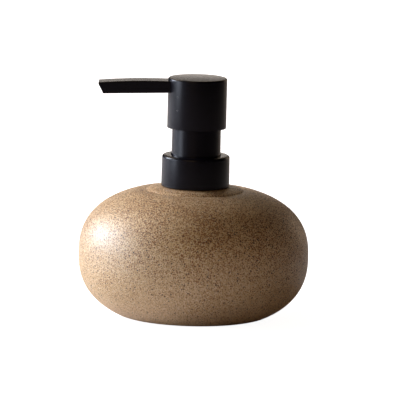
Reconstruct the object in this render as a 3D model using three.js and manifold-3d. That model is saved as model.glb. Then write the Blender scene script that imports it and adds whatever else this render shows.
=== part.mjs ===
// Soap pump dispenser: a pebble-shaped stoneware bottle with a black lotion pump.
// Millimetres, +Z up. The origin is the middle of the foot, on the surface that the bottle stands on.
// Every turned piece shares the Z axis, and the spout points along -X.

import * as THREE from "three";
import { mergeVertices } from "three/addons/utils/BufferGeometryUtils.js";
import Module from "manifold-3d";

const wasm = await Module();
wasm.setup();

// ---------- driving dimensions ----------

const GAP = 0.3; // left between pieces that touch each other on the real object
const TALL = 120; // floor to the top of the head
const STROKE = 12; // how far the head is pushed down

// The bottle's sides are two superellipses, (r / R)^power + (z / height)^power = 1, one above the equator and
// one below it.
const BODY_R = 57.5;
const EQUATOR_Z = 30.9;
const SWELL_ABOVE = { radius: BODY_R, height: 35, power: 2.5 };
const SWELL_BELOW = { radius: BODY_R, height: -36, power: 2.42 };
const HOLLOW_ABOVE = { radius: BODY_R - 4.2, height: 30.6, power: 2.5 };
const HOLLOW_BELOW = { radius: BODY_R - 4.2, height: -31.5, power: 2.42 };
const FLOOR_Z = 6.5;
const FOOT = { inner: 27, outer: 33, recess: 1.6, blend: 4.5 };
const CREASE = { r: 24.4, z: 63.3 }; // where the raised shoulder ring meets the swell
const SWELL_END_R = 31; // the swell flattens from here in to the crease
const SHOULDER = { r: 17.3, z: 65.3 };
const SWELL_BEND = [28.3, 63.4]; // control point of the curve from the swell to the crease
const RING_BEND = [22.8, 64.8]; // control point of the curve from the crease to the shoulder
const NECK = { outer: 11.2, bore: 8.9, rim: 74.4 };

const THREAD = { pitch: 4.2, root: 12.5, crest: 13.55, capCrest: 13.75, capRoot: 14.6, fromRim: 1.3 };

const COLLAR = { bottom: SHOULDER.z + GAP, top: 81.3, r: 17.05, topR: 16.9, wall: 1.1 };
const CAP = { outer: 15.65, hole: 12.65, top: COLLAR.top - COLLAR.wall - GAP };
const FLANGE = { thick: 1.2, r: 12.6, bottom: 76.0 };
const SLEEVE = { foot: 13.3, r: 12.3, topR: 12.15, inner: 10.9, hole: 8.7, step: 1, top: 99.5 };

const CYLINDER = { outer: 7.4, bore: 6.4, step: 41.0 }; // the pump housing's barrel
const SOCKET = { outer: 3.9, bore: 2.7, bottom: 26, top: 33.2 }; // takes the dip tube
// The inlet valve's chamber, below the barrel.
const VALVE = { outer: 5.5, bottom: 34.5, top: 37.5, barrelFrom: 39.8, pocket: 4.4, floor: 36.9 };
const BALL_SEAT = { r: 3.3, throat: 1.6, throatTop: 34.7 };
const VENT = { r: 0.7, z: 72.8 };
const BALL = { r: 2.2, z: 36.45 };
const STEM = { r: 3.6, bore: 2.3, bottom: 71, top: 110.9 };
const CHAPLET = { r: 5.6, lip: 8.4, lipThick: 1, cup: 5.0, cupFloor: 84.2, top: 86 }; // guides the stem
const WIPER = { r: 4.7, bottom: 84.5, step: 85.3, top: 85.8 };
const ROD = { r: 2.0, flange: 5.3, flangeBottom: 61.9, flangeTop: 63.3 };
const ROD_ENDS = { button: 3.4, bottom: 58.8, neckFrom: 72.5, pin: 1.5, top: 81.5 };
const PISTON = { lip: 6.15, waist: 5.3, bottom: 63.7, top: 69.4 };
const SPRING_SEAT = { stem: 4.1, bottom: 37.3, hole: 1.5, thick: 1 };
const SPRING = { r: 4.5, wire: 0.45, turns: 6, closed: 0.75 };
const DIP_TUBE = { wall: 0.7, aboveFloor: 2, belowSocketTop: 0.4 };

const HEAD = { r: 14.75, inner: 12.7, bottom: 94.9, ceiling: 118.6 };
const HEADROOM = 1.1; // left above the sleeve when the head is pushed down
const CORE = { r: 12.4, bottom: SLEEVE.top + STROKE + HEADROOM, bossR: 5.4, bossBottom: 100 };
const CAVITY = { r: 2.2, high: 4.6 }; // joins the stem's bore to the spout's channel
const SPOUT = { width: 12, edge: 0.4, flatTo: 22, topBend: 34, mouth: 1.4 };
const SPOUT_TIP = { top: [49.4, 117.15], bottom: [47.4, 111.6] }; // [distance from the head's axis, z]
const SPOUT_ROOT = { top: 118.55, bottom: 112.75 };
const SPOUT_MIDDLE = (SPOUT_ROOT.top + SPOUT_ROOT.bottom) / 2; // height of its middle line at the root
const TENON = { wide: 10, high: 4.6, end: 9.5 }; // the spout's tongue, through the head's wall
const LINER = { outer: 1.65, bore: 1.1, hole: 1.95, from: 5, to: 46.6 };
const DROOP = THREE.MathUtils.degToRad(1.5); // the spout's middle line falls by this towards its tip

const ROUND = 40; // sides of a large turned piece
const ROUND_SMALL = 20;
const FILLET_STEPS = 2;

// ---------- shapes ----------

/** Corners [r, z, fillet] as profile points. A fillet is the length cut off each side of its corner. */
function outline(corners, closed) {
  const path = new THREE.Path();
  corners.forEach(([r, z, fillet = 0], i) => {
    const corner = new THREE.Vector2(r, z);
    const near = (step) => {
      const other = corners[(i + step + corners.length) % corners.length];
      return new THREE.Vector2(other[0], other[1]).sub(corner).setLength(fillet).add(corner);
    };
    const start = fillet ? near(-1) : corner;
    if (i) path.lineTo(start.x, start.y);
    else path.moveTo(start.x, start.y);
    if (fillet) {
      const end = near(1);
      path.quadraticCurveTo(corner.x, corner.y, end.x, end.y);
    }
  });
  if (closed) path.closePath();
  return path.getPoints(FILLET_STEPS);
}

/** A turned solid from profile points that start and end on the axis, or close on themselves. */
function turned(points, sides) {
  return new THREE.LatheGeometry(points, sides).rotateX(Math.PI / 2);
}

const ring = (corners, sides) => turned(outline(corners, true), sides);
const plug = (corners, sides) => turned(outline(corners, false), sides);

/** A closed geometry as a manifold-3d solid. */
function solid(geometry) {
  const bare = geometry.clone();
  bare.deleteAttribute("normal");
  bare.deleteAttribute("uv");
  const merged = mergeVertices(bare, 1e-4);
  return new wasm.Manifold(
    new wasm.Mesh({
      numProp: 3,
      vertProperties: new Float32Array(merged.attributes.position.array),
      triVerts: new Uint32Array(merged.index.array),
    }),
  );
}

function geometryOf(manifold) {
  const mesh = manifold.getMesh();
  return new THREE.BufferGeometry()
    .setAttribute("position", new THREE.BufferAttribute(mesh.vertProperties, 3))
    .setIndex(new THREE.BufferAttribute(mesh.triVerts, 1));
}

const joined = (a, b) => geometryOf(solid(a).add(solid(b)));

function cut(geometry, ...tools) {
  return geometryOf(tools.reduce((made, tool) => made.subtract(solid(tool)), solid(geometry)));
}

/** A bar wound clockwise round the axis. Its section's x runs outwards and its y upwards. */
function wound(section, radius, turns, stepsPerTurn, heightAt) {
  const bar = new THREE.ExtrudeGeometry(section, {
    depth: 1,
    steps: Math.round(turns * stepsPerTurn),
    bevelEnabled: false,
    curveSegments: 2,
  });
  const place = bar.attributes.position;
  for (let i = 0; i < place.count; i++) {
    const along = place.getZ(i);
    const angle = -along * turns * 2 * Math.PI;
    const r = radius + place.getX(i);
    place.setXYZ(i, r * Math.cos(angle), r * Math.sin(angle), place.getY(i) + heightAt(along));
  }
  return bar;
}

/** A right-hand thread ridge from the root radius to the crest radius, running down from topZ. */
function threadRidge(root, crest, topZ, turns) {
  const rootHalf = 0.9;
  const crestHalf = 0.45;
  const depth = crest - root;
  const corners = [
    [0, -rootHalf],
    [depth, -crestHalf],
    [depth, crestHalf],
    [0, rootHalf],
  ].map(([x, y]) => new THREE.Vector2(x, y));
  const section = new THREE.Shape(corners);
  return wound(section, root, turns, 24, (along) => topZ - along * turns * THREAD.pitch);
}

/** Lays a piece that was turned about Z along the spout's middle line, z = 0 going to the head's axis. */
function alongSpout(geometry) {
  const axisZ = SPOUT_MIDDLE + HEAD.r * Math.tan(DROOP);
  return geometry.rotateY(-Math.PI / 2 - DROOP).translate(0, 0, axisZ);
}

/** A rod on the spout's middle line, between two distances from the head's axis. */
function spoutRod(r, from, to) {
  const rod = new THREE.CylinderGeometry(r, r, to - from, ROUND_SMALL).rotateX(Math.PI / 2);
  return alongSpout(rod.translate(0, 0, (from + to) / 2));
}

function block(fromX, toX, wide, fromZ, toZ) {
  return new THREE.BoxGeometry(toX - fromX, wide, toZ - fromZ).translate(
    (fromX + toX) / 2,
    0,
    (fromZ + toZ) / 2,
  );
}

// ---------- bottle ----------

/** Points of a superellipse swell between two radii. */
function swell({ radius, height, power }, fromR, toR, steps) {
  const angleAt = (r) => Math.acos(Math.min(1, r / radius) ** (power / 2));
  const first = angleAt(fromR);
  const last = angleAt(toR);
  return Array.from({ length: steps + 1 }, (_, i) => {
    const angle = first + ((last - first) * i) / steps;
    const r = radius * Math.cos(angle) ** (2 / power);
    const z = EQUATOR_Z + height * Math.sin(angle) ** (2 / power);
    return new THREE.Vector2(r, z);
  });
}

/** The radius at which a swell reaches height z. */
function swellRadius({ radius, height, power }, z) {
  return radius * (1 - ((z - EQUATOR_Z) / height) ** power) ** (1 / power);
}

function bottleBody() {
  const bend = (a, b, c, steps) =>
    new THREE.QuadraticBezierCurve(...[a, b, c].map(([r, z]) => new THREE.Vector2(r, z))).getPoints(steps);
  const footTo = swellRadius(SWELL_BELOW, 0) + FOOT.blend / 2;
  const below = swell(SWELL_BELOW, footTo, BODY_R, 6);
  const above = swell(SWELL_ABOVE, BODY_R, SWELL_END_R, 9);
  const swellEnd = above[above.length - 1].toArray();
  const crease = [CREASE.r, CREASE.z];
  const shoulder = [SHOULDER.r, SHOULDER.z];
  const outside = [
    ...bend([FOOT.outer, 0], [FOOT.outer + FOOT.blend / 2, 0.1], below[0].toArray(), 3),
    ...below.slice(1),
    ...above.slice(1),
    ...bend(swellEnd, SWELL_BEND, crease, 3).slice(1),
    ...bend(crease, RING_BEND, shoulder, 4).slice(1),
  ];
  const neck = outline([
    [NECK.outer + 0.6, SHOULDER.z + 0.05, 0.5],
    [NECK.outer, SHOULDER.z + 0.6],
    [NECK.outer, NECK.rim, 0.6],
    [NECK.bore, NECK.rim, 0.6],
    [NECK.bore, NECK.rim - 6],
  ]);
  const inside = [
    ...swell(HOLLOW_ABOVE, NECK.bore, HOLLOW_ABOVE.radius, 7),
    ...swell(HOLLOW_BELOW, HOLLOW_BELOW.radius, swellRadius(HOLLOW_BELOW, FLOOR_Z), 4).slice(1),
    new THREE.Vector2(0, FLOOR_Z),
  ];
  const underside = outline([
    [0, FOOT.recess],
    [FOOT.inner - 1.5, FOOT.recess],
    [FOOT.inner, 0],
  ]);
  return turned([...underside, ...outside, ...neck, ...inside], ROUND);
}

function threadRing() {
  const tube = ring(
    [
      [NECK.outer + GAP, SHOULDER.z + 0.7],
      [THREAD.root, SHOULDER.z + 0.7],
      [THREAD.root, NECK.rim],
      [NECK.outer + GAP, NECK.rim],
    ],
    ROUND,
  );
  return joined(tube, threadRidge(THREAD.root - 0.1, THREAD.crest, NECK.rim - THREAD.fromRim, 1.25));
}

// ---------- closure ----------

function collarShell() {
  const inner = COLLAR.r - COLLAR.wall;
  const ceiling = COLLAR.top - COLLAR.wall;
  const hole = SLEEVE.r + GAP;
  return ring(
    [
      [inner, COLLAR.bottom],
      [COLLAR.r, COLLAR.bottom, 0.4],
      [COLLAR.topR, COLLAR.top, 1.5],
      [hole, COLLAR.top, 0.25],
      [hole, ceiling],
      [inner - 0.1, ceiling],
    ],
    ROUND,
  );
}

function closureCap() {
  const bottom = COLLAR.bottom + 0.5;
  const ceiling = CAP.top - COLLAR.wall;
  const cap = ring(
    [
      [THREAD.capRoot, bottom],
      [CAP.outer, bottom],
      [CAP.outer, CAP.top],
      [CAP.hole, CAP.top],
      [CAP.hole, ceiling],
      [THREAD.capRoot, ceiling],
    ],
    ROUND,
  );
  const ridgeTop = NECK.rim - THREAD.fromRim - THREAD.pitch / 2;
  return joined(cap, threadRidge(THREAD.capRoot + 0.1, THREAD.capCrest, ridgeTop, 0.9));
}

// ---------- pump ----------

function neckGasket() {
  const bottom = NECK.rim + GAP;
  const top = FLANGE.bottom - GAP;
  const inner = CYLINDER.outer + 0.8;
  const outer = THREAD.root - 0.2;
  return ring(
    [
      [inner, bottom],
      [outer, bottom],
      [outer, top],
      [inner, top],
    ],
    ROUND_SMALL,
  );
}

function pumpHousing() {
  const flangeTop = FLANGE.bottom + FLANGE.thick;
  const barrel = ring(
    [
      [SOCKET.bore, SOCKET.bottom, 0.3],
      [SOCKET.outer, SOCKET.bottom, 0.3],
      [SOCKET.outer, SOCKET.top - 1.2],
      [VALVE.outer, VALVE.bottom],
      [VALVE.outer, VALVE.top],
      [CYLINDER.outer, VALVE.barrelFrom],
      [CYLINDER.outer, FLANGE.bottom],
      [FLANGE.r, FLANGE.bottom, 0.3],
      [FLANGE.r, flangeTop, 0.3],
      [CYLINDER.bore, flangeTop],
      [CYLINDER.bore, CYLINDER.step],
      [VALVE.pocket, CYLINDER.step],
      [VALVE.pocket, VALVE.floor],
      [BALL_SEAT.r, VALVE.floor],
      [BALL_SEAT.throat, BALL_SEAT.throatTop],
      [BALL_SEAT.throat, SOCKET.top],
      [SOCKET.bore, SOCKET.top],
    ],
    ROUND_SMALL,
  );
  const vent = new THREE.CylinderGeometry(VENT.r, VENT.r, 3, 12).translate(0, CYLINDER.outer - 0.5, VENT.z);
  return cut(barrel, vent);
}

function neckSleeve() {
  const bottom = FLANGE.bottom + FLANGE.thick + GAP;
  const step = bottom + SLEEVE.step;
  return ring(
    [
      [SLEEVE.hole, bottom],
      [SLEEVE.foot, bottom],
      [SLEEVE.foot, step],
      [SLEEVE.r, step],
      [SLEEVE.topR, SLEEVE.top, 0.5],
      [SLEEVE.inner, SLEEVE.top, 0.5],
      [SLEEVE.inner, step],
      [SLEEVE.hole, step],
    ],
    ROUND,
  );
}

function chaplet() {
  const bore = STEM.r + GAP;
  const plugR = CYLINDER.bore - GAP;
  const bottom = STEM.bottom + 0.6;
  const lip = FLANGE.bottom + FLANGE.thick + GAP;
  return ring(
    [
      [bore, bottom],
      [plugR, bottom],
      [plugR, lip],
      [CHAPLET.lip, lip],
      [CHAPLET.lip, lip + CHAPLET.lipThick],
      [CHAPLET.r, lip + CHAPLET.lipThick],
      [CHAPLET.r, CHAPLET.top, 0.3],
      [CHAPLET.cup, CHAPLET.top],
      [CHAPLET.cup, CHAPLET.cupFloor],
      [bore, CHAPLET.cupFloor],
    ],
    ROUND_SMALL,
  );
}

function stemWiper() {
  return ring(
    [
      [STEM.r + 0.25, WIPER.bottom],
      [WIPER.r, WIPER.bottom],
      [WIPER.r, WIPER.step],
      [STEM.r + 0.5, WIPER.top],
      [STEM.r + 0.25, WIPER.top],
    ],
    ROUND_SMALL,
  );
}

function stem() {
  return ring(
    [
      [STEM.bore, STEM.bottom],
      [STEM.r, STEM.bottom],
      [STEM.r, STEM.top, 0.3],
      [STEM.bore, STEM.top],
    ],
    ROUND_SMALL,
  );
}

function pistonRod() {
  const { button, bottom, neckFrom, pin, top } = ROD_ENDS;
  return plug(
    [
      [0, bottom],
      [button, bottom, 0.4],
      [button, ROD.flangeBottom],
      [ROD.flange, ROD.flangeBottom],
      [ROD.flange, ROD.flangeTop],
      [ROD.r, ROD.flangeTop],
      [ROD.r, neckFrom],
      [pin, neckFrom + 0.5],
      [pin, top],
      [0, top],
    ],
    ROUND_SMALL,
  );
}

function piston() {
  const { lip, waist, bottom, top } = PISTON;
  const bore = ROD.r + GAP;
  return ring(
    [
      [bore, bottom],
      [waist, bottom],
      [lip, bottom + 0.7],
      [lip, bottom + 1.1],
      [waist, bottom + 1.9],
      [waist, top - 1.8],
      [lip, top - 0.9],
      [lip, top - 0.5],
      [waist + 0.3, top],
      [bore, top],
    ],
    ROUND_SMALL,
  );
}

function springSeat() {
  const step = CYLINDER.step + GAP;
  const top = step + SPRING_SEAT.thick;
  const cage = BALL.r + 0.55;
  return ring(
    [
      [cage, SPRING_SEAT.bottom],
      [SPRING_SEAT.stem, SPRING_SEAT.bottom],
      [SPRING_SEAT.stem, step],
      [CYLINDER.bore - GAP, step],
      [CYLINDER.bore - GAP, top],
      [SPRING_SEAT.hole, top],
      [SPRING_SEAT.hole, step + 0.1],
      [cage, step + 0.1],
    ],
    ROUND_SMALL,
  );
}

/** A compression spring whose end turns lie flat. */
function returnSpring() {
  const bottom = CYLINDER.step + GAP + SPRING_SEAT.thick + GAP;
  const top = ROD.flangeBottom - GAP;
  const { wire, turns, closed } = SPRING;
  const endShare = closed / turns;
  const endRise = closed * wire * 2.1;
  const span = top - bottom - 2 * wire;
  const heightAt = (along) => {
    const centre = top - wire;
    if (along < endShare) return centre - (endRise * along) / endShare;
    if (along > 1 - endShare) return bottom + wire + (endRise * (1 - along)) / endShare;
    const share = (along - endShare) / (1 - 2 * endShare);
    return centre - endRise - share * (span - 2 * endRise);
  };
  const section = new THREE.Shape().absellipse(0, 0, wire, wire, 0, 2 * Math.PI);
  return wound(new THREE.Shape(section.getPoints(3).slice(0, -1)), SPRING.r, turns, 14, heightAt);
}

function dipTube() {
  const outer = SOCKET.bore - GAP;
  const inner = outer - DIP_TUBE.wall;
  const bottom = FLOOR_Z + DIP_TUBE.aboveFloor;
  const top = SOCKET.top - DIP_TUBE.belowSocketTop;
  return ring(
    [
      [inner, bottom],
      [outer, bottom],
      [outer, top],
      [inner, top],
    ],
    ROUND_SMALL,
  );
}

const inletBall = () => new THREE.SphereGeometry(BALL.r, 20, 12).rotateX(Math.PI / 2);

// ---------- head ----------

/** The space for the spout's tongue, a gap larger than it all round. */
function tenonSpace(fromX, toX) {
  const half = TENON.high / 2 + GAP;
  return block(fromX, toX, TENON.wide + 2 * GAP, SPOUT_MIDDLE - half, SPOUT_MIDDLE + half);
}

function headShell() {
  const cup = plug(
    [
      [0, HEAD.ceiling],
      [HEAD.inner, HEAD.ceiling],
      [HEAD.inner, HEAD.bottom],
      [HEAD.r, HEAD.bottom, 0.25],
      [HEAD.r, TALL, 0.9],
      [0, TALL],
    ],
    ROUND,
  );
  return cut(cup, tenonSpace(-HEAD.r - 2, -HEAD.inner + 2));
}

function headCore() {
  const bore = STEM.r + GAP;
  const disc = plug(
    [
      [0, CORE.bottom + CAVITY.high],
      [CAVITY.r, CORE.bottom + CAVITY.high],
      [CAVITY.r, STEM.top + GAP],
      [bore, STEM.top + GAP],
      [bore, CORE.bossBottom],
      [CORE.bossR, CORE.bossBottom, 0.4],
      [CORE.bossR, CORE.bottom],
      [CORE.r, CORE.bottom],
      [CORE.r, HEAD.ceiling - GAP],
      [0, HEAD.ceiling - GAP],
    ],
    ROUND_SMALL,
  );
  return cut(disc, tenonSpace(-HEAD.r, -TENON.end + GAP), spoutRod(LINER.hole, 0, CORE.r));
}

function spoutBlade() {
  const side = new THREE.Shape();
  const bevel = SPOUT.edge;
  const [tipTopR, tipTopZ] = SPOUT_TIP.top;
  const [tipBottomR, tipBottomZ] = SPOUT_TIP.bottom;
  side.moveTo(HEAD.r - 3, SPOUT_ROOT.bottom + bevel);
  side.lineTo(tipBottomR - 1.2, tipBottomZ + bevel);
  side.quadraticCurveTo(tipBottomR - bevel, tipBottomZ + bevel, tipBottomR - 0.1, tipBottomZ + 1.2);
  side.lineTo(tipTopR - bevel, tipTopZ - bevel);
  side.quadraticCurveTo(SPOUT.topBend, SPOUT_ROOT.top - bevel, SPOUT.flatTo, SPOUT_ROOT.top - bevel);
  side.lineTo(HEAD.r - 3, SPOUT_ROOT.top - bevel);
  const blade = new THREE.ExtrudeGeometry(side, {
    depth: SPOUT.width - 2 * bevel,
    bevelThickness: bevel,
    bevelSize: bevel,
    bevelSegments: 1,
    curveSegments: 5,
  }).translate(0, 0, bevel - SPOUT.width / 2);
  const sideways = new THREE.Matrix4().makeBasis(
    new THREE.Vector3(-1, 0, 0),
    new THREE.Vector3(0, 0, 1),
    new THREE.Vector3(0, 1, 0),
  );
  blade.applyMatrix4(sideways);
  const headRoom = new THREE.CylinderGeometry(HEAD.r + GAP, HEAD.r + GAP, 12, ROUND * 2)
    .rotateX(Math.PI / 2).translate(0, 0, TALL - 4);
  const half = TENON.high / 2;
  const tenon = block(-HEAD.r - 1.5, -TENON.end, TENON.wide, SPOUT_MIDDLE - half, SPOUT_MIDDLE + half);
  const boreTo = LINER.to + GAP;
  const bore = spoutRod(LINER.hole, 0, boreTo);
  const mouth = spoutRod(SPOUT.mouth, boreTo - 5, boreTo + 5);
  return cut(joined(cut(blade, headRoom), tenon), bore, mouth);
}

function spoutLiner() {
  return alongSpout(
    ring(
      [
        [LINER.bore, LINER.from],
        [LINER.outer, LINER.from],
        [LINER.outer, LINER.to],
        [LINER.bore, LINER.to],
      ],
      ROUND_SMALL,
    ),
  );
}

// ---------- materials and assembly ----------

const finish = (color, roughness, metalness = 0) => () =>
  new THREE.MeshStandardMaterial({ color, roughness, metalness });

const stoneware = finish(0xb89a7a, 0.6);
const blackPlastic = finish(0x17171a, 0.45);
const whitePlastic = finish(0xe8e8e4, 0.5);
const softSeal = finish(0xd9d6cc, 0.7);
const steel = finish(0xb8bcc0, 0.3, 1);

/** Every piece with its shape and material, in the groups that come apart from one another. */
const ASSEMBLY = {
  bottle: [
    ["bottle_body", bottleBody, stoneware],
    ["thread_ring", threadRing, whitePlastic],
  ],
  closure: [
    ["collar_shell", collarShell, blackPlastic],
    ["closure_cap", closureCap, whitePlastic],
  ],
  pumpBase: [
    ["neck_gasket", neckGasket, softSeal],
    ["pump_housing", pumpHousing, whitePlastic],
    ["neck_sleeve", neckSleeve, blackPlastic],
    ["chaplet", chaplet, whitePlastic],
    ["stem_wiper", stemWiper, softSeal],
    ["spring_seat", springSeat, whitePlastic],
    ["return_spring", returnSpring, steel],
    ["dip_tube", dipTube, softSeal],
  ],
  plunger: [
    ["stem", stem, whitePlastic],
    ["piston_rod", pistonRod, whitePlastic],
    ["piston", piston, softSeal],
  ],
  head: [
    ["head_shell", headShell, blackPlastic],
    ["head_core", headCore, whitePlastic],
    ["spout", spoutBlade, blackPlastic],
    ["spout_liner", spoutLiner, softSeal],
  ],
};

const dispenser = new THREE.Group();
for (const pieces of Object.values(ASSEMBLY)) {
  const group = new THREE.Group();
  for (const [name, shape, material] of pieces) {
    const mesh = new THREE.Mesh(shape(), material());
    mesh.name = name;
    group.add(mesh);
  }
  dispenser.add(group);
}

const ball = new THREE.Mesh(inletBall(), steel());
ball.name = "inlet_ball";
ball.position.z = BALL.z;
dispenser.add(ball);

export default dispenser;
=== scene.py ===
"""Soap pump dispenser: the looks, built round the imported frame.

Metres, +Z up, the foot at z = 0 and the spout along -X. Every piece gets a fine mesh of its CAD node's
size. Profiles are written in millimetres, as corners (r, z, cut), where cut is the length that a round
corner takes off each side.
"""
import math

import bpy
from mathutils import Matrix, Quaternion, Vector


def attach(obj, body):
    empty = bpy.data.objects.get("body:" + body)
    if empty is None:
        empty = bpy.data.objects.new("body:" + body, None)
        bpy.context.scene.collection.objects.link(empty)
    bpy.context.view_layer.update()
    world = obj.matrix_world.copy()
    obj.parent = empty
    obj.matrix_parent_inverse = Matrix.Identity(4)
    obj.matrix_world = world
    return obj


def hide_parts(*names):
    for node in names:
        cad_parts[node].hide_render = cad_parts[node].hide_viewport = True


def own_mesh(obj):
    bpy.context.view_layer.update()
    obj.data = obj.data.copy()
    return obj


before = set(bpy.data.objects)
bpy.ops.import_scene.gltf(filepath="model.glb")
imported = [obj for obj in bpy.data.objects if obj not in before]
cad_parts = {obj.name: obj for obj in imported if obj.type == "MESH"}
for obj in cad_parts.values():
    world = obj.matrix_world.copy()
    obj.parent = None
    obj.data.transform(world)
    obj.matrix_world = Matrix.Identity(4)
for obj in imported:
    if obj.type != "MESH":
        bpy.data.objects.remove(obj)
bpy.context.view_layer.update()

MM = 0.001
SIDES_LARGE, SIDES, SIDES_SMALL = 256, 128, 64  # round a turned piece
SHARP_ANGLE = math.radians(32)
ON_AXIS = 1e-7  # a profile point closer to the axis than this, in metres, is one point

# Heights and radii that several pieces share, in millimetres.
GAP = 0.3  # between pieces that touch on the real object
STROKE = 12  # how far the head goes down
HEADROOM = 1.1  # between the sleeve and the head's core when the head is down
BODY_R, EQUATOR = 57.5, 30.9
SHOULDER_R, SHOULDER_Z = 17.3, 65.3
NECK_R, NECK_BORE, NECK_RIM = 11.2, 8.9, 74.4
THREAD_ROOT, THREAD_CREST, THREAD_PITCH, THREAD_FROM_RIM = 12.5, 13.55, 4.2, 1.3
THREAD_SUNK = 0.1  # a ridge starts this far inside its wall
CAP_ROOT, CAP_CREST = 14.6, 13.75
COLLAR_R, COLLAR_BOTTOM, COLLAR_TOP, COLLAR_WALL = 17.05, 65.6, 81.3, 1.1
FLANGE_R, FLANGE_BOTTOM, FLANGE_TOP = 12.6, 76.0, 77.2
SLEEVE_R, SLEEVE_FOOT, SLEEVE_TOP = 12.3, 13.3, 99.5
BARREL_R, BARREL_BORE, BARREL_STEP = 7.4, 6.4, 41.0
SOCKET_R, SOCKET_BORE, SOCKET_BOTTOM, SOCKET_TOP = 3.9, 2.7, 26.0, 33.2
STEM_R, STEM_BORE, STEM_BOTTOM, STEM_TOP = 3.6, 2.3, 71.0, 110.9
HEAD_R, HEAD_INNER, HEAD_BOTTOM, HEAD_CEILING, HEAD_TOP = 14.75, 12.7, 94.9, 118.6, 120.0
CORE_BOTTOM = SLEEVE_TOP + STROKE + HEADROOM
FLOOR_Z = 6.5  # the bottle's inside floor
DROOP = math.radians(1.5)  # the spout's channel falls by this towards its tip
SPOUT_ROOT_TOP, SPOUT_ROOT_BOTTOM = 118.55, 112.75


# ---------- profiles ----------

def outline(corners, closed=True, steps=6):
    """Profile points in metres from corners in millimetres."""
    points = []
    for i, (r, z, *rest) in enumerate(corners):
        corner = Vector((r, z))
        at_end = not closed and i in (0, len(corners) - 1)
        if not rest or at_end:
            points.append(corner * MM)
            continue
        start, end = (corner + (Vector(corners[j % len(corners)][:2]) - corner).normalized() * rest[0]
                      for j in (i - 1, i + 1))
        points += [p * MM for p in bend(start, corner, end, steps)]
    return points


def bend(a, b, c, steps):
    """A quadratic curve from a to c with its control point at b."""
    a, b, c = Vector(a), Vector(b), Vector(c)
    shares = (k / steps for k in range(steps + 1))
    return [a * (1 - t) ** 2 + b * 2 * t * (1 - t) + c * t ** 2 for t in shares]


def soften(points, centre_r, reach, passes):
    """Rounds a profile near centre_r by drawing each point towards the middle of its neighbours."""
    for _ in range(passes):
        earlier = list(points)
        for i in range(1, len(points) - 1):
            weight = max(0.0, 1 - abs(earlier[i].x - centre_r) / reach) * 0.5
            points[i] = earlier[i].lerp((earlier[i - 1] + earlier[i + 1]) / 2, weight)
    return points


# ---------- meshes ----------

def mesh_object(name, vertices, faces):
    mesh = bpy.data.meshes.new(name)
    mesh.from_pydata([tuple(v) for v in vertices], [], faces)
    mesh.validate()
    mesh.shade_smooth()
    mesh.set_sharp_from_angle(angle=SHARP_ANGLE)
    made = bpy.data.objects.new(name, mesh)
    bpy.context.scene.collection.objects.link(made)
    return made


def turned_shape(points, closed, sides):
    """Vertices and faces of points revolved round Z. An open profile starts and ends on the axis."""
    vertices, rings = [], []
    for point in points:
        on_axis = point.x < ON_AXIS
        first = len(vertices)
        for k in range(1 if on_axis else sides):
            angle = 2 * math.pi * k / sides
            vertices.append(Vector((point.x * math.cos(angle), point.x * math.sin(angle), point.y)))
        rings.append([first] * sides if on_axis else list(range(first, first + sides)))
    faces = []
    for lower, upper in zip(rings, rings[1:] + rings[:1] if closed else rings[1:]):
        for k in range(sides):
            n = (k + 1) % sides
            corners = tuple(dict.fromkeys((lower[k], lower[n], upper[n], upper[k])))
            if len(corners) > 2:
                faces.append(corners)
    return vertices, faces


def lofted_shape(loops, looped):
    """Skins loops of equally many points. A loft that isn't looped gets a cap at each end."""
    count = len(loops[0])
    vertices = [Vector(v) for loop in loops for v in loop]
    faces = []
    for i in range(len(loops) if looped else len(loops) - 1):
        a, b = i * count, (i + 1) % len(loops) * count
        for k in range(count):
            n = (k + 1) % count
            faces.append((a + k, a + n, b + n, b + k))
    if not looped:
        faces.append(tuple(reversed(range(count))))
        faces.append(tuple(range(len(vertices) - count, len(vertices))))
    return vertices, faces


def together(*shapes):
    """Several shapes as the vertices and faces of one."""
    vertices, faces = [], []
    for more_vertices, more_faces in shapes:
        faces += [tuple(k + len(vertices) for k in face) for face in more_faces]
        vertices += more_vertices
    return vertices, faces


def thread_ridge(root, crest, top, turns):
    """A right-hand ridge running down from top, with its ends run out into the wall."""
    # Share of the ridge's height, and half its width there in millimetres.
    section = [(0, 0.9), (0.2, 0.80), (0.8, 0.48), (0.95, 0.38), (1, 0.25)]
    section += [(depth, -half) for depth, half in reversed(section)]
    steps_per_turn, end_turns, end_height = 96, 0.08, 0.05
    steps = round(turns * steps_per_turn)
    loops = []
    for i in range(steps + 1):
        along = i / steps
        angle = -2 * math.pi * turns * along
        run_out = min(1, along * turns / end_turns, (1 - along) * turns / end_turns)
        z = top - along * turns * THREAD_PITCH
        loop = []
        for depth, rise in section:
            r = root + (crest - root) * depth * (end_height + (1 - end_height) * run_out)
            loop.append(Vector((r * math.cos(angle), r * math.sin(angle), z + rise)) * MM)
        loops.append(loop if crest > root else loop[::-1])
    return lofted_shape(loops, looped=False)


# ---------- materials ----------

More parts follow.
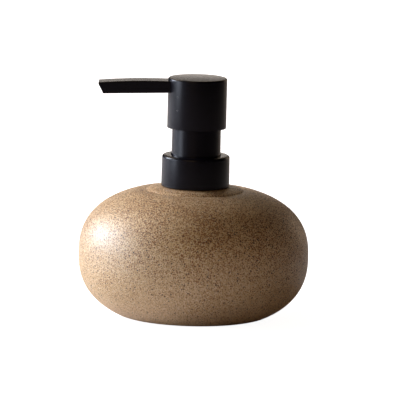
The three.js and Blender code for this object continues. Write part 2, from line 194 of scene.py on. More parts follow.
class Material:
    """A node material with one Principled shader. Texture scales are repeats per metre."""

    SCATTER = 0.87  # how far a speck strays from its cell's middle, from 0 to 1

    def __init__(self, name, color, roughness, metallic=0.0, ior=1.5):
        self.material = bpy.data.materials.new(name)
        self.material.use_nodes = True
        self.tree = self.material.node_tree
        self.shader = self.tree.nodes["Principled BSDF"]
        self.shader.inputs["Base Color"].default_value = (*color, 1)
        self.shader.inputs["Roughness"].default_value = roughness
        self.shader.inputs["Metallic"].default_value = metallic
        self.shader.inputs["IOR"].default_value = ior
        self.place = self.tree.nodes.new("ShaderNodeTexCoord").outputs["Object"]

    def feed(self, socket, value):
        """Sets a socket from a number, a colour or another node's output."""
        if isinstance(value, (int, float)):
            socket.default_value = value
        elif isinstance(value, tuple):
            socket.default_value = (*value, 1)
        else:
            self.tree.links.new(value, socket)

    def noise(self, scale, detail=2.0, roughness=0.5):
        node = self.tree.nodes.new("ShaderNodeTexNoise")
        self.feed(node.inputs["Vector"], self.place)
        for key, value in (("Scale", scale), ("Detail", detail), ("Roughness", roughness)):
            self.feed(node.inputs[key], value)
        return node.outputs["Fac"]

    def remap(self, value, low, high, to_low=0.0, to_high=1.0):
        node = self.tree.nodes.new("ShaderNodeMapRange")
        node.interpolation_type = "SMOOTHSTEP"
        for socket, number in zip(node.inputs, (value, low, high, to_low, to_high)):
            self.feed(socket, number)
        return node.outputs["Result"]

    def math(self, operation, a, b):
        node = self.tree.nodes.new("ShaderNodeMath")
        node.operation = operation
        self.feed(node.inputs[0], a)
        self.feed(node.inputs[1], b)
        return node.outputs[0]

    def mix(self, factor, a, b):
        """Mixes two colours. A Mix node's colour sockets are 6 and 7 going in and 2 coming out."""
        node = self.tree.nodes.new("ShaderNodeMix")
        node.data_type = "RGBA"
        for index, value in ((0, factor), (6, a), (7, b)):
            self.feed(node.inputs[index], value)
        return node.outputs[2]

    def height(self):
        node = self.tree.nodes.new("ShaderNodeSeparateXYZ")
        self.feed(node.inputs[0], self.place)
        return node.outputs["Z"]

    def specks(self, scale, size, share=1.0, least=0.7, edge=0.12):
        """1 inside round specks, one each in a share of the cells, with scale cells per metre.

        A speck's radius is size cells at most, and least times that at the smallest.
        """
        cells = self.tree.nodes.new("ShaderNodeTexVoronoi")
        for key, value in (("Vector", self.place), ("Scale", scale), ("Randomness", self.SCATTER)):
            self.feed(cells.inputs[key], value)
        chance = self.tree.nodes.new("ShaderNodeSeparateColor")
        self.feed(chance.inputs[0], cells.outputs["Color"])
        chosen = self.math("LESS_THAN", chance.outputs["Red"], share)
        radius = self.math("MULTIPLY", self.remap(chance.outputs["Green"], 0, 1, least, 1), size)
        inside = self.math("SUBTRACT", radius, cells.outputs["Distance"])
        return self.math("MULTIPLY", self.remap(inside, -edge / 2, edge / 2), chosen)

    def color(self, value):
        self.feed(self.shader.inputs["Base Color"], value)

    def roughness(self, value):
        self.feed(self.shader.inputs["Roughness"], value)

    def bump(self, height, distance, strength):
        node = self.tree.nodes.new("ShaderNodeBump")
        for key, value in (("Height", height), ("Distance", distance), ("Strength", strength)):
            self.feed(node.inputs[key], value)
        self.feed(self.shader.inputs["Normal"], node.outputs["Normal"])


def stoneware():
    """Tan satin glaze over clay with iron grains, which show most round the top."""
    tan, warm, pale = (0.605, 0.405, 0.228), (0.580, 0.375, 0.198), (0.77, 0.605, 0.415)
    brown, rust, iron = (0.24, 0.082, 0.017), (0.110, 0.023, 0.003), (0.025, 0.006, 0.002)
    m = Material("speckled_stoneware", tan, 0.5, ior=1.61)
    upper = m.remap(m.height(), 0.010, 0.056, 0.80, 1.10)
    crowding = m.math("MULTIPLY", m.remap(m.noise(60, 2), 0.3, 0.7, 0.92, 1.08), upper)
    color = m.mix(m.remap(m.noise(30, 3), 0.35, 0.65), tan, warm)
    color = m.mix(m.specks(1550, 0.41), color, pale)
    color = m.mix(m.specks(1400, m.math("MULTIPLY", crowding, 0.43)), color, brown)
    grains = m.specks(1200, m.math("MULTIPLY", crowding, 0.36), 0.9)
    color = m.mix(grains, color, rust)
    color = m.mix(m.specks(950, 0.40, m.math("MULTIPLY", crowding, 0.13)), color, iron)
    m.color(color)
    m.roughness(m.remap(m.noise(450, 3), 0.3, 0.7, 0.43, 0.53))
    m.bump(m.math("SUBTRACT", m.noise(800, 3), m.math("MULTIPLY", grains, 0.3)), 0.00004, 0.5)
    return m.material


def raw_clay():
    """The unglazed foot ring."""
    m = Material("raw_clay", (0.42, 0.27, 0.16), 0.9)
    color = m.mix(m.remap(m.noise(600, 4), 0.35, 0.65), (0.36, 0.23, 0.13), (0.50, 0.34, 0.21))
    m.color(m.mix(m.math("MULTIPLY", m.specks(700, 0.42, 0.4, 0.5), 0.7), color, (0.10, 0.05, 0.025)))
    m.bump(m.noise(1600, 4), 0.0001, 0.8)
    return m.material


def black_plastic():
    """Satin black with a fine moulded grain and a few specks of dust."""
    m = Material("satin_black", (0.003, 0.003, 0.003), 0.25, ior=1.27)
    m.shader.inputs["Specular Tint"].default_value = (0.96, 0.90, 0.95, 1)
    tone = m.mix(m.noise(900, 2), (0.0030, 0.0026, 0.0052), (0.0040, 0.0035, 0.0068))
    m.color(m.mix(m.math("MULTIPLY", m.specks(300, 0.07, 0.05, 0.5), 0.6), tone, (0.30, 0.28, 0.27)))
    m.roughness(m.remap(m.noise(400, 2), 0.3, 0.7, 0.235, 0.265))
    m.bump(m.noise(1800, 2), 0.000008, 0.3)
    return m.material


def moulded(name, color, shade, roughness, transmission=0.0):
    """Plain moulded plastic or rubber with a faint cloudiness."""
    m = Material(name, color, roughness)
    m.shader.inputs["Transmission Weight"].default_value = transmission
    m.color(m.mix(m.remap(m.noise(180, 3), 0.3, 0.7), color, shade))
    m.roughness(m.remap(m.noise(500, 2), 0.3, 0.7, roughness - 0.05, roughness + 0.07))
    m.bump(m.noise(1400, 2), 0.00003, 0.3)
    return m.material


def drawn_steel():
    """Bright wire with faint drawing marks."""
    m = Material("drawn_steel", (0.62, 0.62, 0.63), 0.25, metallic=1.0)
    m.color(m.mix(m.noise(700, 2), (0.56, 0.56, 0.58), (0.68, 0.68, 0.68)))
    m.roughness(m.remap(m.noise(1200, 3), 0.3, 0.7, 0.18, 0.36))
    return m.material


FINISHES = {
    "stoneware": stoneware(),
    "black_plastic": black_plastic(),
    "natural_plastic": moulded("natural_plastic", (0.80, 0.80, 0.77), (0.74, 0.74, 0.71), 0.45),
    "soft_plastic": moulded("soft_plastic", (0.74, 0.74, 0.70), (0.66, 0.66, 0.61), 0.35,
                            transmission=0.25),
    "seal": moulded("seal_rubber", (0.045, 0.045, 0.047), (0.06, 0.06, 0.062), 0.7),
    "steel": drawn_steel(),
}


# ---------- placing ----------

NODES = {
    # node: (body, finish)
    "bottle_body": ("bottle", "stoneware"),
    "thread_ring": ("bottle", "natural_plastic"),
    "collar_shell": ("closure", "black_plastic"),
    "closure_cap": ("closure", "natural_plastic"),
    "neck_gasket": ("pump_base", "seal"),
    "pump_housing": ("pump_base", "natural_plastic"),
    "neck_sleeve": ("pump_base", "black_plastic"),
    "chaplet": ("pump_base", "natural_plastic"),
    "stem_wiper": ("pump_base", "seal"),
    "spring_seat": ("pump_base", "natural_plastic"),
    "return_spring": ("pump_base", "steel"),
    "dip_tube": ("pump_base", "soft_plastic"),
    "stem": ("plunger", "natural_plastic"),
    "piston_rod": ("plunger", "natural_plastic"),
    "piston": ("piston", "soft_plastic"),
    "head_shell": ("head", "black_plastic"),
    "head_core": ("head", "natural_plastic"),
    "spout": ("head", "black_plastic"),
    "spout_liner": ("head", "soft_plastic"),
    "inlet_ball": ("inlet_ball", "steel"),
}


def stand_for(node, shape):
    """A fine piece that takes the CAD node's place, body and finish."""
    body, finish = NODES[node]
    piece = mesh_object(f"{node}_fine", *shape)
    piece.data.materials.append(FINISHES[finish])
    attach(piece, body)
    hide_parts(node)
    return piece


def ring(node, corners, sides=SIDES, *extra):
    """A closed profile turned round Z, with any extra shapes in the same piece."""
    return stand_for(node, together(turned_shape(outline(corners), True, sides), *extra))


def plug(node, corners, sides=SIDES):
    """A profile that starts and ends on the axis, turned round Z."""
    return stand_for(node, turned_shape(outline(corners, closed=False), False, sides))


# ---------- bottle ----------

UPPER = (BODY_R, 35, 2.5)  # radius, height and power of each superellipse
LOWER = (BODY_R, -36, 2.42)
WALL = 4.2
HOLLOW_R = BODY_R - WALL
HOLLOW_UPPER = (HOLLOW_R, 30.6, 2.5)
HOLLOW_LOWER = (HOLLOW_R, -31.5, 2.42)
FOOT_INNER, FOOT_OUTER, FOOT_RECESS, FOOT_BLEND = 27, 33, 1.6, 4.5
SWELL_END_R = 31  # the swell flattens from here in to the crease
CREASE = (24.4, 63.3)  # where the raised shoulder ring meets the swell
SWELL_BEND, RING_BEND = (28.3, 63.4), (22.8, 64.8)  # control points on either side of the crease
CLAY_INNER, CLAY_OUTER, CLAY_TOP = FOOT_INNER - 1, FOOT_OUTER + 2.2, 0.35  # the unglazed clay


def swell(radius, height, power, from_r, to_r, steps):
    """Points of (r / radius)^power + ((z - equator) / height)^power = 1 between two radii."""
    first, last = (math.acos(min(1.0, r / radius) ** (power / 2)) for r in (from_r, to_r))
    points = []
    for k in range(steps + 1):
        angle = first + (last - first) * k / steps
        rise = height * abs(math.sin(angle)) ** (2 / power)
        points.append(Vector((radius * math.cos(angle) ** (2 / power), EQUATOR + rise)))
    return points


def swell_radius(radius, height, power, z):
    """The radius at which a swell reaches height z."""
    return radius * (1 - ((z - EQUATOR) / height) ** power) ** (1 / power)


def bottle():
    below = swell(*LOWER, swell_radius(*LOWER, 0) + FOOT_BLEND / 2, BODY_R, 48)
    above = swell(*UPPER, BODY_R, SWELL_END_R, 64)
    outside = [
        *bend((FOOT_OUTER, 0), (FOOT_OUTER + FOOT_BLEND / 2, 0.1), below[0], 12),
        *below[1:],
        *above[1:],
        *bend(above[-1], SWELL_BEND, CREASE, 20)[1:],
        *bend(CREASE, RING_BEND, (SHOULDER_R, SHOULDER_Z), 24)[1:],
    ]
    inside = [
        *swell(*HOLLOW_UPPER, NECK_BORE, HOLLOW_R, 40),
        *swell(*HOLLOW_LOWER, HOLLOW_R, swell_radius(*HOLLOW_LOWER, FLOOR_Z), 30)[1:],
        Vector((0, FLOOR_Z)),
    ]
    neck = outline([
        (NECK_R + 0.6, SHOULDER_Z + 0.05),
        (NECK_R, SHOULDER_Z + 0.6, 0.3),
        (NECK_R, NECK_RIM, 0.7),
        (NECK_BORE, NECK_RIM, 0.7),
        (NECK_BORE, NECK_RIM - 6),
    ], closed=False)
    underside = outline([
        (0, FOOT_RECESS),
        (FOOT_INNER - 1.5, FOOT_RECESS, 1.2),
        (FOOT_INNER, 0, 0.5),
        (FOOT_OUTER, 0),
    ], closed=False)[:-1]
    outside = soften(outside, CREASE[0], reach=1.0, passes=2)
    profile = [*underside, *(p * MM for p in outside), *neck, *(p * MM for p in inside)]
    piece = stand_for("bottle_body", turned_shape(profile, False, SIDES_LARGE))
    piece.data.materials.append(raw_clay())
    for face in piece.data.polygons:
        across = math.hypot(face.center.x, face.center.y) / MM
        if face.center.z < CLAY_TOP * MM and CLAY_INNER < across < CLAY_OUTER:
            face.material_index = 1


bottle()

ring("thread_ring", [
    (NECK_R + GAP, SHOULDER_Z + 0.7),
    (THREAD_ROOT, SHOULDER_Z + 0.7, 0.2),
    (THREAD_ROOT, NECK_RIM, 0.3),
    (NECK_R + GAP, NECK_RIM),
], SIDES, thread_ridge(THREAD_ROOT - THREAD_SUNK, THREAD_CREST, NECK_RIM - THREAD_FROM_RIM, 1.25))


# ---------- collar and closure cap ----------

ring("collar_shell", [
    (COLLAR_R - COLLAR_WALL, COLLAR_BOTTOM, 0.15),
    (COLLAR_R, COLLAR_BOTTOM, 0.4),
    (COLLAR_R - 0.15, COLLAR_TOP, 1.5),
    (SLEEVE_R + GAP, COLLAR_TOP, 0.25),
    (SLEEVE_R + GAP, COLLAR_TOP - COLLAR_WALL, 0.1),
    (COLLAR_R - COLLAR_WALL - 0.1, COLLAR_TOP - COLLAR_WALL, 0.3),
], SIDES_LARGE)

CAP_R, CAP_HOLE, CAP_BOTTOM, CAP_TOP = 15.65, 12.65, COLLAR_BOTTOM + 0.5, COLLAR_TOP - COLLAR_WALL - GAP
CAP_THREAD_TOP = NECK_RIM - THREAD_FROM_RIM - THREAD_PITCH / 2
ring("closure_cap", [
    (CAP_ROOT, CAP_BOTTOM, 0.2),
    (CAP_R, CAP_BOTTOM, 0.2),
    (CAP_R, CAP_TOP, 0.3),
    (CAP_HOLE, CAP_TOP, 0.15),
    (CAP_HOLE, CAP_TOP - COLLAR_WALL, 0.15),
    (CAP_ROOT, CAP_TOP - COLLAR_WALL, 0.3),
], SIDES, thread_ridge(CAP_ROOT + THREAD_SUNK, CAP_CREST, CAP_THREAD_TOP, 0.9))


# ---------- pump ----------

GASKET_INNER, GASKET_OUTER = BARREL_R + 0.8, THREAD_ROOT - 0.2
ring("neck_gasket", [
    (GASKET_INNER, NECK_RIM + GAP, 0.15),
    (GASKET_OUTER, NECK_RIM + GAP, 0.15),
    (GASKET_OUTER, FLANGE_BOTTOM - GAP, 0.15),
    (GASKET_INNER, FLANGE_BOTTOM - GAP, 0.15),
])

VALVE_R, VALVE_BORE, VALVE_FLOOR = 5.5, 4.4, 36.9  # the inlet valve's chamber, below the barrel
THROAT_R = 1.6
ring("pump_housing", [
    (SOCKET_BORE, SOCKET_BOTTOM, 0.3),
    (SOCKET_R, SOCKET_BOTTOM, 0.3),
    (SOCKET_R, SOCKET_TOP - 1.2, 0.3),
    (VALVE_R, 34.5, 0.4),
    (VALVE_R, 37.5, 0.4),
    (BARREL_R, 39.8, 0.4),
    (BARREL_R, FLANGE_BOTTOM, 0.4),
    (FLANGE_R, FLANGE_BOTTOM, 0.3),
    (FLANGE_R, FLANGE_TOP, 0.3),
    (BARREL_BORE, FLANGE_TOP, 0.2),
    (BARREL_BORE, BARREL_STEP, 0.2),
    (VALVE_BORE, BARREL_STEP, 0.2),
    (VALVE_BORE, VALVE_FLOOR, 0.2),
    (3.3, VALVE_FLOOR, 0.1),
    (THROAT_R, 34.7, 0.2),
    (THROAT_R, SOCKET_TOP, 0.2),
    (SOCKET_BORE, SOCKET_TOP, 0.2),
])

SLEEVE_BOTTOM, SLEEVE_STEP = FLANGE_TOP + GAP, FLANGE_TOP + GAP + 1
SLEEVE_INNER, SLEEVE_HOLE = 10.9, 8.7
ring("neck_sleeve", [
    (SLEEVE_HOLE, SLEEVE_BOTTOM, 0.1),
    (SLEEVE_FOOT, SLEEVE_BOTTOM, 0.2),
    (SLEEVE_FOOT, SLEEVE_STEP, 0.2),
    (SLEEVE_R, SLEEVE_STEP, 0.2),
    (SLEEVE_R - 0.15, SLEEVE_TOP, 0.5),
    (SLEEVE_INNER, SLEEVE_TOP, 0.4),
    (SLEEVE_INNER, SLEEVE_STEP, 0.2),
    (SLEEVE_HOLE, SLEEVE_STEP, 0.2),
], SIDES_LARGE)

CHAPLET_R, CHAPLET_LIP, CHAPLET_BOTTOM, CHAPLET_TOP = 5.6, 8.4, STEM_BOTTOM + 0.6, 86
CUP_R, CUP_FLOOR = 5.0, 84.2  # the cup in the chaplet's top that holds the wiper
ring("chaplet", [
    (STEM_R + GAP, CHAPLET_BOTTOM, 0.15),
    (BARREL_BORE - GAP, CHAPLET_BOTTOM, 0.3),
    (BARREL_BORE - GAP, SLEEVE_BOTTOM, 0.2),
    (CHAPLET_LIP, SLEEVE_BOTTOM, 0.2),
    (CHAPLET_LIP, SLEEVE_STEP, 0.2),
    (CHAPLET_R, SLEEVE_STEP, 0.3),
    (CHAPLET_R, CHAPLET_TOP, 0.25),
    (CUP_R, CHAPLET_TOP, 0.1),
    (CUP_R, CUP_FLOOR, 0.1),
    (STEM_R + GAP, CUP_FLOOR, 0.15),
])

WIPER_R, WIPER_BOTTOM, WIPER_TOP = 4.7, 84.5, 85.8
ring("stem_wiper", [
    (STEM_R + 0.25, WIPER_BOTTOM, 0.1),
    (WIPER_R, WIPER_BOTTOM, 0.15),
    (WIPER_R, WIPER_TOP - 0.5, 0.15),
    (STEM_R + 0.5, WIPER_TOP, 0.1),
    (STEM_R + 0.25, WIPER_TOP, 0.1),
])

SEAT_STEP, SEAT_TOP = BARREL_STEP + GAP, BARREL_STEP + GAP + 1
CAGE_R, CAGE_BORE, CAGE_BOTTOM, SEAT_HOLE = 4.1, 2.75, 37.3, 1.5
ring("spring_seat", [
    (CAGE_BORE, CAGE_BOTTOM, 0.15),
    (CAGE_R, CAGE_BOTTOM, 0.2),
    (CAGE_R, SEAT_STEP, 0.15),
    (BARREL_BORE - GAP, SEAT_STEP, 0.2),
    (BARREL_BORE - GAP, SEAT_TOP, 0.2),
    (SEAT_HOLE, SEAT_TOP, 0.2),
    (SEAT_HOLE, SEAT_STEP + 0.1),
    (CAGE_BORE, SEAT_STEP + 0.1, 0.2),
], SIDES_SMALL)

TUBE_R, TUBE_WALL, TUBE_BOTTOM, TUBE_TOP = SOCKET_BORE - GAP, 0.7, FLOOR_Z + 2, SOCKET_TOP - 0.4
ring("dip_tube", [
    (TUBE_R - TUBE_WALL, TUBE_BOTTOM, 0.1),
    (TUBE_R, TUBE_BOTTOM, 0.1),
    (TUBE_R, TUBE_TOP, 0.1),
    (TUBE_R - TUBE_WALL, TUBE_TOP, 0.1),
], SIDES_SMALL)

ring("stem", [
    (STEM_BORE, STEM_BOTTOM, 0.2),
    (STEM_R, STEM_BOTTOM, 0.2),
    (STEM_R, STEM_TOP, 0.3),
    (STEM_BORE, STEM_TOP, 0.2),
], SIDES_SMALL)

ROD_R, ROD_BUTTON, ROD_PIN, ROD_BOTTOM, ROD_TOP = 2.0, 3.4, 1.5, 58.8, 81.5
PORT_R, PORT_BOTTOM, PORT_TOP = 5.3, 61.9, 63.3  # the rod's flange, which shuts the piston's port
plug("piston_rod", [
    (0, ROD_BOTTOM),
    (ROD_BUTTON, ROD_BOTTOM, 0.4),
    (ROD_BUTTON, PORT_BOTTOM, 0.2),
    (PORT_R, PORT_BOTTOM, 0.25),
    (PORT_R, PORT_TOP, 0.25),
    (ROD_R, PORT_TOP, 0.2),
    (ROD_R, 72.5, 0.2),
    (ROD_PIN, 73, 0.2),
    (ROD_PIN, ROD_TOP, 0.4),
    (0, ROD_TOP),
], SIDES_SMALL)

PISTON_WAIST, PISTON_LIP, PISTON_BOTTOM, PISTON_TOP = 5.3, 6.15, 63.7, 69.4
ring("piston", [
    (ROD_R + GAP, PISTON_BOTTOM, 0.15),
    (PISTON_WAIST, PISTON_BOTTOM, 0.2),
    (PISTON_LIP, 64.4, 0.15),
    (PISTON_LIP, 64.8, 0.15),
    (PISTON_WAIST, 65.6, 0.3),
    (PISTON_WAIST, 67.6, 0.3),
    (PISTON_LIP, 68.5, 0.15),
    (PISTON_LIP, 68.9, 0.15),
    (PISTON_WAIST + 0.3, PISTON_TOP, 0.15),
    (ROD_R + GAP, PISTON_TOP, 0.15),
], SIDES_SMALL)


def inlet_ball():
    radius, centre, steps = 2.2, 36.45, 32
    arc = [Vector((radius * math.cos(a), centre + radius * math.sin(a))) * MM
           for a in (math.pi * (k / steps - 0.5) for k in range(steps + 1))]
    arc[0].x = arc[-1].x = 0
    stand_for("inlet_ball", turned_shape(arc, False, SIDES_SMALL))


def return_spring():
    """A compression spring whose end turns lie flat."""
    coil_r, wire, turns, flat_turns = 4.5, 0.45, 6, 0.75
    bottom, top = SEAT_TOP + GAP, PORT_BOTTOM - GAP
    flat_rise = flat_turns * wire * 2.1  # a little over the wire's thickness in each turn
    flat_share = flat_turns / turns
    steps, wire_sides = turns * 64, 14
    loops = []
    for i in range(steps + 1):
        along = i / steps
        if along < flat_share:
            z = top - wire - flat_rise * along / flat_share
        elif along > 1 - flat_share:
            z = bottom + wire + flat_rise * (1 - along) / flat_share
        else:
            share = (along - flat_share) / (1 - 2 * flat_share)
            z = top - wire - flat_rise - share * (top - bottom - 2 * wire - 2 * flat_rise)
        angle = -2 * math.pi * turns * along
        loop = []
        for k in range(wire_sides):
            turn = 2 * math.pi * k / wire_sides
            r = coil_r + wire * math.cos(turn)
            loop.append(Vector((r * math.cos(angle), r * math.sin(angle), z - wire * math.sin(turn))) * MM)
        loops.append(loop)
    piece = stand_for("return_spring", lofted_shape(loops, looped=False))
    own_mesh(piece)


inlet_ball()
return_spring()


# ---------- head ----------

plug("head_shell", [
    (0, HEAD_CEILING),
    (HEAD_INNER, HEAD_CEILING, 0.6),
    (HEAD_INNER, HEAD_BOTTOM, 0.25),
    (HEAD_R, HEAD_BOTTOM, 0.25),
    (HEAD_R, HEAD_TOP, 0.95),
    (0, HEAD_TOP),
], SIDES_LARGE)

CORE_R, BOSS_R, BOSS_BOTTOM = 12.4, 5.4, 100
CAVITY_R, CAVITY_TOP = 2.2, CORE_BOTTOM + 4.6
plug("head_core", [
    (0, CAVITY_TOP),
    (CAVITY_R, CAVITY_TOP, 0.2),
    (CAVITY_R, STEM_TOP + GAP, 0.2),
    (STEM_R + GAP, STEM_TOP + GAP, 0.2),
    (STEM_R + GAP, BOSS_BOTTOM, 0.2),
    (BOSS_R, BOSS_BOTTOM, 0.4),
    (BOSS_R, CORE_BOTTOM, 0.4),
    (CORE_R, CORE_BOTTOM, 0.3),
    (CORE_R, HEAD_CEILING - GAP, 0.2),
    (0, HEAD_CEILING - GAP),
])


def along_spout(r, along, angle):
    """A point at radius r round the spout's channel, the given length along it from the head's axis."""
    middle = (SPOUT_ROOT_TOP + SPOUT_ROOT_BOTTOM) / 2 + HEAD_R * math.tan(DROOP)
    up, side = r * math.cos(angle), r * math.sin(angle)
    x = -along * math.cos(DROOP) - up * math.sin(DROOP)
    z = middle - along * math.sin(DROOP) + up * math.cos(DROOP)
    return Vector((x, side, z)) * MM


def spout_liner():
    """The soap channel, a tube from inside the head's core to just behind the mouth."""
    outer, bore, start, end = 1.65, 1.1, 5, 46.6
    angles = [2 * math.pi * k / SIDES_SMALL for k in range(SIDES_SMALL)]
    walls = [(bore, start), (bore, end), (outer, end), (outer, start)]
    loops = [[along_spout(r, u, a) for a in angles] for r, u in walls]
    stand_for("spout_liner", lofted_shape(loops, looped=True))


def spout():
    """The blade, with the soap channel through it and a slanted tip. Its root is inside the head's wall."""
    half_width, root = 6.0, 13.1
    tip_top, tip_bottom = (49.4, 117.15), (47.4, 111.6)  # distance from the head's axis, and height
    flat_to, bend_at = 22, 34
    edge = 0.45  # radius of the blade's long edges
    end_cut_top, end_cut_bottom = 0.35, 0.8  # how far the round end reaches back, at its top and bottom
    mouth_r, channel_r, mouth_edge = 1.4, 1.95, 0.25
    mouth_from, mouth_inner = 46.9, 47.0  # where the channel narrows to the mouth
    corner_steps, side_steps, stations, cut_steps = 6, 8, 44, 7
    top_line = bend((flat_to, SPOUT_ROOT_TOP), (bend_at, SPOUT_ROOT_TOP), tip_top, 40)

    def top_at(u):
        if u <= flat_to:
            return SPOUT_ROOT_TOP
        for a, b in zip(top_line, top_line[1:]):
            if u <= b.x:
                return a.y + (b.y - a.y) * (u - a.x) / (b.x - a.x)
        return tip_top[1]

    def bottom_at(u):
        return SPOUT_ROOT_BOTTOM + (tip_bottom[1] - SPOUT_ROOT_BOTTOM) * (u - root) / (tip_bottom[0] - root)

    # The section round the blade: side and height from -1 to 1, and the outward direction there.
    section = []
    corners = [(1, -1), (1, 1), (-1, 1), (-1, -1)]
    for i, (side, height) in enumerate(corners):
        facing = math.atan2(height, side)
        for k in range(corner_steps + 1):
            angle = facing - math.pi / 4 + math.pi / 2 * k / corner_steps
            section.append((side, height, math.cos(angle), math.sin(angle)))
        next_side, next_height = corners[(i + 1) % 4]
        for k in range(1, side_steps):
            t = k / side_steps
            section.append((side + (next_side - side) * t, height + (next_height - height) * t,
                            math.cos(facing + math.pi / 4), math.sin(facing + math.pi / 4)))

    def loop(along, shrink=0.0, back=0.0):
        """The section at a share of the blade's length, shrunk and drawn back by shares of the end cut."""
        points = []
        for side, height, out_side, out_height in section:
            share = (height + 1) / 2
            end_cut = end_cut_bottom + (end_cut_top - end_cut_bottom) * share
            end = tip_bottom[0] + (tip_top[0] - tip_bottom[0]) * share
            u = root + (end - root) * along - back * end_cut
            inset = edge + shrink * end_cut
            top, bottom = top_at(u), bottom_at(u)
            z = (top + bottom) / 2 + height * ((top - bottom) / 2 - inset) + out_height * edge
            points.append(Vector((-u, side * (half_width - inset) + out_side * edge, z)) * MM)
        return points

    slant = (tip_top[0] - tip_bottom[0]) / (tip_top[1] - tip_bottom[1])
    end_u = (tip_top[0] + tip_bottom[0]) / 2
    end_z = (tip_top[1] + tip_bottom[1]) / 2
    end_loop = loop(1, shrink=1)
    angles = [math.atan2(p.y, p.z - end_z * MM) for p in end_loop]

    def hole(radius, back=0.0):
        """A round loop in the slanted end face, or a little behind it."""
        return [Vector((-(end_u - back + slant * radius * math.cos(a)), radius * math.sin(a),
                        end_z + radius * math.cos(a))) * MM for a in angles]

    lip = hole(mouth_r + mouth_edge)
    loops = [loop(k / stations) for k in range(stations)]
    for k in range(cut_steps + 1):
        turn = math.pi / 2 * k / cut_steps
        loops.append(loop(1, shrink=1 - math.cos(turn), back=1 - math.sin(turn)))
    loops += [[p.lerp(q, t) for p, q in zip(end_loop, lip)] for t in (0.3, 0.6, 0.85)]
    loops.append(lip)
    loops += [hole(mouth_r + mouth_edge * (1 - math.sin(turn)), mouth_edge * (1 - math.cos(turn)))
              for turn in (math.pi / 8, math.pi / 4, 3 * math.pi / 8, math.pi / 2)]
    channel = ((mouth_r, mouth_inner), (channel_r, mouth_from), (channel_r, root))
    loops += [[along_spout(r, u, a) for a in angles] for r, u in channel]
    stand_for("spout", lofted_shape([points[::-1] for points in loops], looped=True))


spout_liner()
spout()


# ---------- camera ----------

AIM = Vector((0.0067, 0, 0.0544))  # the point in the middle of the picture
ELEVATION = math.radians(8.8)
ROLL = math.radians(1.45)  # the picture's own turn
DISTANCE = 3.4  # metres from the aim point
VIEW_WIDTH = 0.208  # metres across the picture at the aim point


def place_camera():
    data = bpy.data.cameras.new("camera")
    camera = bpy.data.objects.new("camera", data)
    bpy.context.scene.collection.objects.link(camera)
    bpy.context.scene.camera = camera
    data.lens = data.sensor_width * DISTANCE / VIEW_WIDTH
    outward = Vector((0, -math.cos(ELEVATION), math.sin(ELEVATION)))
    camera.location = AIM + outward * DISTANCE
    camera.rotation_mode = "QUATERNION"
    camera.rotation_quaternion = Quaternion(outward, ROLL) @ outward.to_track_quat("Z", "Y")


# ---------- light, floor and surroundings ----------

LIGHTS = {
    # name: (direction from the object, distance, side, watts, colour)
    "window": ((-0.894, 0.335, 0.295), 1.2, 0.50, 18.8, (0.77, 0.86, 1.0)),
    "window_high": ((-0.70, 0.34, 0.64), 1.2, 0.6, 6.8, (1.0, 0.87, 0.70)),
    "left": ((-1.0, 0.06, 0.15), 1.2, 0.80, 4.3, (0.68, 0.87, 1.0)),
    "left_wide": ((-0.94, -0.34, 0.15), 1.3, 1.2, 2.0, (0.80, 0.92, 1.0)),
    "left_low": ((-0.90, -0.20, 0.06), 1.2, 0.45, 5.0, (0.78, 0.89, 1.0)),
    "front": ((-0.36, -0.85, 0.42), 2.0, 1.4, 5.2, (1.0, 0.72, 0.36)),
    "back": ((0.0, 1.0, 0.15), 1.5, 0.75, 0.3, (0.9, 0.95, 1.0)),
    "back_low": ((0.0, 1.0, 0.03), 1.5, 0.4, 0.8, (1.0, 0.88, 0.78)),
    "back_right": ((0.60, 0.80, 0.15), 1.5, 0.75, 1.7, (1.0, 0.78, 0.58)),
    "back_high": ((0.0, 0.80, 0.60), 1.4, 1.0, 1.8, (1.0, 0.78, 0.52)),
}


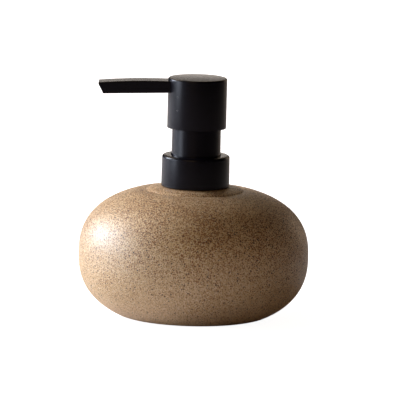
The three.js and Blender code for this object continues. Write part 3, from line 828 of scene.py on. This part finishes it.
def place_light(name, direction, distance, side, watts, color):
    data = bpy.data.lights.new(name, "AREA")
    data.shape = "SQUARE"
    data.size, data.energy, data.color = side, watts, color
    light = bpy.data.objects.new(name, data)
    outward = Vector(direction).normalized()
    light.location = AIM + outward * distance
    light.rotation_mode = "QUATERNION"
    light.rotation_quaternion = outward.to_track_quat("Z", "Y")
    light.visible_camera = False
    bpy.context.scene.collection.objects.link(light)


def place_floor():
    """A pale floor that glows so that it stays white. Its glow lights nothing but itself."""
    half, drop = 6, 0.00005  # the drop keeps the floor off the foot's own face
    corners = [(x, y, -drop) for x, y in ((-half, -half), (half, -half), (half, half), (-half, half))]
    plane = mesh_object("floor", corners, [(0, 1, 2, 3)])
    material = bpy.data.materials.new("floor")
    material.use_nodes = True
    shader = material.node_tree.nodes["Principled BSDF"]
    shader.inputs["Base Color"].default_value = (0.69, 0.65, 0.65, 1)
    shader.inputs["Roughness"].default_value = 0.9
    shader.inputs["Emission Color"].default_value = (1, 1, 1, 1)
    shader.inputs["Emission Strength"].default_value = 0.95
    plane.data.materials.append(material)
    alone = bpy.data.collections.new("lit_by_floor")
    alone.objects.link(plane)
    plane.light_linking.receiver_collection = alone


def surroundings():
    """White to the camera, and a dim room to light the object by."""
    world = bpy.data.worlds.new("studio")
    bpy.context.scene.world = world
    world.use_nodes = True
    tree = world.node_tree
    tree.nodes.clear()
    rays = tree.nodes.new("ShaderNodeLightPath")
    mix = tree.nodes.new("ShaderNodeMixShader")
    out = tree.nodes.new("ShaderNodeOutputWorld")
    tree.links.new(rays.outputs["Is Camera Ray"], mix.inputs[0])
    room_glow, backdrop_glow = 0.008, 1.0
    for index, strength in ((1, room_glow), (2, backdrop_glow)):
        background = tree.nodes.new("ShaderNodeBackground")
        background.inputs["Color"].default_value = (1, 1, 1, 1)
        background.inputs["Strength"].default_value = strength
        tree.links.new(background.outputs[0], mix.inputs[index])
    tree.links.new(mix.outputs[0], out.inputs["Surface"])


place_camera()
for light_name, settings in LIGHTS.items():
    place_light(light_name, *settings)
place_floor()
surroundings()
bpy.context.scene.view_settings.view_transform = "Standard"
